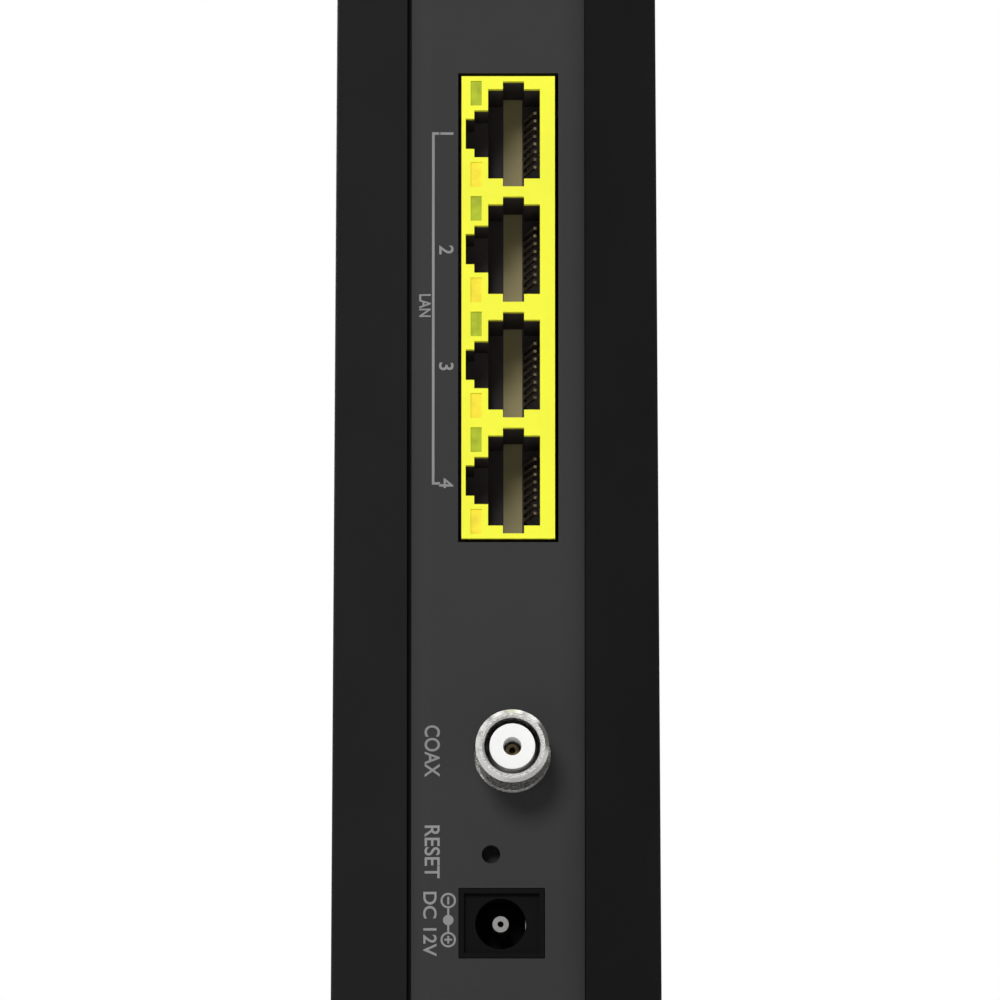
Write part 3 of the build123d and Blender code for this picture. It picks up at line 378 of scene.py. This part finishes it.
def add_stroke(shape, start, end, width):
    """A straight printed stroke between two (X, Z) points."""
    along = Vector((end[0] - start[0], 0, end[1] - start[1]))
    size = Matrix.Diagonal((along.length, 2 * INK_THICK, width, 1))
    turn = Matrix.Rotation(-math.atan2(along.z, along.x), 4, "Y")
    place = Matrix.Translation(((start[0] + end[0]) / 2, 0, (start[1] + end[1]) / 2))
    bmesh.ops.create_cube(shape, size=1, matrix=place @ turn @ size)


def add_dot(shape, x, z, radius):
    """A printed round dot."""
    upright = Matrix.Rotation(math.radians(90), 4, "X")
    place = Matrix.Translation((x, 0, z)) @ upright
    bmesh.ops.create_cone(
        shape, cap_ends=True, segments=DOT_SIDES, radius1=radius, radius2=radius,
        depth=2 * INK_THICK, matrix=place,
    )


def add_ring(shape, x, z, radius, width, start=0, sweep=360):
    """A printed ring, or an arc of one that runs anticlockwise as seen from the front."""
    inner = radius - width
    corners = [(inner, -INK_THICK), (radius, -INK_THICK), (radius, INK_THICK), (inner, INK_THICK)]
    first = math.radians(start)
    points = [shape.verts.new((x + r * math.cos(first), y, z + r * math.sin(first))) for r, y in corners]
    edges = [shape.edges.new((points[i], points[i - 1])) for i in range(4)]
    whole = sweep == 360
    bmesh.ops.spin(
        shape, geom=points + edges, cent=(x, 0, z), axis=(0, -1, 0),
        angle=math.radians(sweep), steps=RING_STEPS, use_merge=whole,
    )
    if not whole:
        ends = [edge for edge in shape.edges if edge.is_boundary]
        bmesh.ops.holes_fill(shape, edges=ends, sides=4)


# ---------------------------------------------------------------- labels beside the sockets
NUMBER_X = 6.6 * MM
NUMBER_PITCH = 15.38 * MM
NUMBER_DOWN = 0.15 * MM  # the numbers and their bracket stand this far below the sockets
GROUP_X = 9.35 * MM
NAME_X = 8.4 * MM
RATING_X = 8.67 * MM
POLARITY_X = 6.2 * MM
BRACKET_X = 8.19 * MM
LINE_W = 0.34 * MM
TICK = 0.9 * MM
NUMBER_SIZE = 2.6 * MM
GROUP_SIZE, GROUP_LENGTH = 2.1 * MM, 3.0 * MM
GROUP_UP = 0.2 * MM
NAME_SIZE = 2.75 * MM
COAX_LENGTH, COAX_UP = 6.75 * MM, 0.5 * MM
RESET_LENGTH, RESET_UP = 6.9 * MM, 0.4 * MM
RATING_SIZE, RATING_LENGTH = 2.4 * MM, 8.4 * MM
POLARITY_PITCH = 2.55 * MM
POLARITY_UP = 0.4 * MM
POLARITY_R = 1.0 * MM
DOT_R = 0.68 * MM
RING_W = 0.26 * MM


def print_bracket():
    """The line that gathers the four network sockets, with a tick at each end."""
    shape = bmesh.new()
    middle = SOCKETS_Z - NUMBER_DOWN
    reach = (PORT_COUNT - 1) / 2 * NUMBER_PITCH + LINE_W / 2
    top, bottom = middle + reach, middle - reach
    add_stroke(shape, (BRACKET_X, bottom), (BRACKET_X, top), LINE_W)
    for z in (bottom + LINE_W / 2, top - LINE_W / 2):
        add_stroke(shape, (BRACKET_X - TICK, z), (BRACKET_X - LINE_W / 2, z), LINE_W)
    print_on(bmesh_to_mesh(shape, "label_bracket"), "label_bracket", on_panel)


def print_polarity():
    """The barrel plug symbol: a minus and a plus, each in a ring, joined to a dot."""
    shape = bmesh.new()
    middle = INLET_Z + POLARITY_UP
    half = POLARITY_R / 2
    for step in (1, -1):
        z = middle + step * POLARITY_PITCH
        add_ring(shape, POLARITY_X, z, POLARITY_R, RING_W)
        add_stroke(shape, (POLARITY_X, z - half), (POLARITY_X, z + half), RING_W)
        near, far = middle + step * DOT_R, z - step * POLARITY_R
        add_stroke(shape, (POLARITY_X, near), (POLARITY_X, far), RING_W)
    plus = middle - POLARITY_PITCH
    for side in (-1, 1):
        add_stroke(shape, (POLARITY_X + side * RING_W / 2, plus), (POLARITY_X + side * half, plus), RING_W)
    add_dot(shape, POLARITY_X, middle, DOT_R)
    print_on(bmesh_to_mesh(shape, "label_polarity"), "label_polarity", on_panel)


def print_labels():
    """All the printing on the rear panel."""
    for i in range(PORT_COUNT):
        z = SOCKETS_Z - NUMBER_DOWN + NUMBER_PITCH * ((PORT_COUNT - 1) / 2 - i)
        print_words(str(i + 1), f"label_{i + 1}", NUMBER_X, z, NUMBER_SIZE)
    print_words("LAN", "label_lan", GROUP_X, SOCKETS_Z + GROUP_UP, GROUP_SIZE, GROUP_LENGTH)
    print_words("COAX", "label_coax", NAME_X, COAX_Z + COAX_UP, NAME_SIZE, COAX_LENGTH)
    print_words("RESET", "label_reset", NAME_X, RESET_Z + RESET_UP, NAME_SIZE, RESET_LENGTH)
    print_words("DC 12V", "label_power", RATING_X, INLET_Z, RATING_SIZE, RATING_LENGTH)
    print_bracket()
    print_polarity()


# ---------------------------------------------------------------- symbols beside the front lights
LAMP_HALF = 1.4 * MM  # half the height of one status lamp
ICON_X = 6.4 * MM
ICON_R = 1.35 * MM
ICON_W = 0.26 * MM
BARB = 0.6  # an arrow's barb, as a share of the icon's radius
WAVE_START, WAVE_STEP = 0.75, 0.55  # radii of the radio's arcs, as shares of the icon's radius
WAVE_FOOT = 0.7
LINK_REACH, LINK_R = 0.75, 0.42


def draw_power(shape, x, z):
    """A ring open at the top with an upright stroke in the gap."""
    add_ring(shape, x, z, ICON_R, ICON_W, start=125, sweep=290)
    add_stroke(shape, (x, z + 0.2 * ICON_R), (x, z + 1.15 * ICON_R), ICON_W)


def draw_arrow(shape, x, z, up):
    """An arrow that points up for +1 and down for -1."""
    tip = z + up * ICON_R
    add_stroke(shape, (x, z - up * ICON_R), (x, tip), ICON_W)
    for side in (-1, 1):
        add_stroke(shape, (x, tip), (x + side * BARB * ICON_R, tip - up * BARB * ICON_R), ICON_W)


def draw_globe(shape, x, z):
    """A ring with a cross in it."""
    add_ring(shape, x, z, ICON_R, ICON_W)
    reach = ICON_R - ICON_W
    add_stroke(shape, (x, z - reach), (x, z + reach), ICON_W)
    for side in (-1, 1):
        add_stroke(shape, (x + side * ICON_W / 2, z), (x + side * reach, z), ICON_W)


def draw_waves(shape, x, z, count):
    """A dot with arcs above it, which stands for a radio."""
    foot = z - WAVE_FOOT * ICON_R
    add_dot(shape, x, foot, ICON_W)
    for i in range(count):
        radius = (WAVE_START + WAVE_STEP * i) * ICON_R
        add_ring(shape, x, foot, radius, ICON_W, start=45, sweep=90)


def draw_link(shape, x, z):
    """Two small rings joined by a stroke."""
    reach, radius = LINK_REACH * ICON_R, LINK_R * ICON_R
    for side in (-1, 1):
        add_ring(shape, x + side * reach, z, radius, ICON_W)
    add_stroke(shape, (x - reach + radius, z), (x + reach - radius, z), ICON_W)


def draw_setup(shape, x, z):
    """Two half turns, which stand for the setup button."""
    for start in (20, 200):
        add_ring(shape, x, z, 1.2 * ICON_R, ICON_W, start=start, sweep=140)
    add_dot(shape, x, z, 1.6 * ICON_W)


def print_front():
    """One plain symbol beside each light, and one on the setup button."""
    symbols = [
        ("power", draw_power, ()),
        ("down", draw_arrow, (-1,)),
        ("up", draw_arrow, (1,)),
        ("online", draw_globe, ()),
        ("radio_far", draw_waves, (2,)),
        ("radio_near", draw_waves, (3,)),
        ("link", draw_link, ()),
    ]
    first, last = LIGHTS_HIGH.z - LAMP_HALF, LIGHTS_LOW.z + LAMP_HALF
    for i, (name, draw, extra) in enumerate(symbols):
        z = first + (last - first) * i / (len(symbols) - 1)
        shape = bmesh.new()
        draw(shape, ICON_X, z, *extra)
        print_on(bmesh_to_mesh(shape, f"icon_{name}"), f"icon_{name}", on_fascia, ICON_INK)
    shape = bmesh.new()
    draw_setup(shape, 0, middle_z((BUTTON_LOW, BUTTON_HIGH)))
    print_on(bmesh_to_mesh(shape, "icon_setup"), "icon_setup", on_button, ICON_INK, BUTTON)


# ---------------------------------------------------------------- studio
FLOOR_HALF = 9.0
FLOOR_PALE = 0.25  # the floor takes shadows within this distance
FLOOR_WHITE = 0.9  # and is plain white beyond this one


def make_floor():
    """A pale floor that fades to white around the router and shows only from above."""
    shape = bmesh.new()
    bmesh.ops.create_grid(shape, x_segments=1, y_segments=1, size=FLOOR_HALF)
    floor = bpy.data.objects.new("floor", bmesh_to_mesh(shape, "floor"))
    bpy.context.scene.collection.objects.link(floor)
    material, shader = blank_material("floor_paint", (0.86, 0.86, 0.86), 0.9)
    shader.inputs["Specular IOR Level"].default_value = 0.1
    nodes, links = material.node_tree.nodes, material.node_tree.links
    place = nodes.new("ShaderNodeTexCoord")
    reach = nodes.new("ShaderNodeVectorMath")
    reach.operation = "LENGTH"
    fade = nodes.new("ShaderNodeMapRange")
    fade.interpolation_type = "SMOOTHSTEP"
    fade.inputs["From Min"].default_value = FLOOR_PALE
    fade.inputs["From Max"].default_value = FLOOR_WHITE
    glow = nodes.new("ShaderNodeEmission")
    clear = nodes.new("ShaderNodeBsdfTransparent")
    side = nodes.new("ShaderNodeNewGeometry")
    blend = nodes.new("ShaderNodeMixShader")
    under = nodes.new("ShaderNodeMixShader")
    links.new(place.outputs["Object"], reach.inputs[0])
    links.new(reach.outputs["Value"], fade.inputs["Value"])
    links.new(fade.outputs["Result"], blend.inputs["Fac"])
    links.new(shader.outputs["BSDF"], blend.inputs[1])
    links.new(glow.outputs["Emission"], blend.inputs[2])
    links.new(side.outputs["Backfacing"], under.inputs["Fac"])
    links.new(blend.outputs["Shader"], under.inputs[1])
    links.new(clear.outputs["BSDF"], under.inputs[2])
    links.new(under.outputs["Shader"], nodes["Material Output"].inputs["Surface"])
    floor.data.materials.append(material)


def area_light(name, place, target, size, watts):
    """A soft round lamp aimed at a point."""
    data = bpy.data.lights.new(name, "AREA")
    data.shape = "DISK"
    data.size = size
    data.energy = watts
    lamp = bpy.data.objects.new(name, data)
    lamp.location = place
    aim = Vector(target) - Vector(place)
    lamp.rotation_euler = aim.to_track_quat("-Z", "Y").to_euler()
    bpy.context.scene.collection.objects.link(lamp)


ARCH_REACH = 1.1
ARCH_Y = 0.1
ARCH_Z = 0.1
ARCH_SIZE = 0.5
ARCH_LAMPS = ((12, 0.6), (40, 0.8), (68, 1.1), (94, 1.8), (122, 0.9))  # degrees from +X, watts


def light_studio():
    """A soft key behind the sockets, a fill for the front, and an arch of dim lamps overhead."""
    centre = (0, 0, 0.1)
    area_light("key_light", (0.3, 1.28, 0.6), centre, 0.5, 10.8)
    area_light("front_light", (0.55, -1.0, 0.75), centre, 0.7, 10)
    for turn, watts in ARCH_LAMPS:
        around = math.radians(turn)
        place = (ARCH_REACH * math.cos(around), ARCH_Y, ARCH_Z + ARCH_REACH * math.sin(around))
        area_light(f"arch_light_{turn}", place, (0, ARCH_Y, ARCH_Z), ARCH_SIZE, watts)


def make_world():
    """White where the camera looks, and dimmer where it only lights the object."""
    world = bpy.data.worlds.new("studio")
    world.use_nodes = True
    nodes, links = world.node_tree.nodes, world.node_tree.links
    sky = nodes["Background"]
    sky.inputs["Color"].default_value = (1, 1, 1, 1)
    sky.inputs["Strength"].default_value = 0.12
    backdrop = nodes.new("ShaderNodeBackground")
    backdrop.inputs["Color"].default_value = (1, 1, 1, 1)
    backdrop.inputs["Strength"].default_value = 1.0
    ray = nodes.new("ShaderNodeLightPath")
    mix = nodes.new("ShaderNodeMixShader")
    links.new(ray.outputs["Is Camera Ray"], mix.inputs["Fac"])
    links.new(sky.outputs["Background"], mix.inputs[1])
    links.new(backdrop.outputs["Background"], mix.inputs[2])
    links.new(mix.outputs["Shader"], nodes["World Output"].inputs["Surface"])
    bpy.context.scene.world = world
    bpy.context.scene.view_settings.view_transform = "Standard"


make_camera()
dress_cad_nodes()
print_labels()
print_front()
make_floor()
light_studio()
make_world()
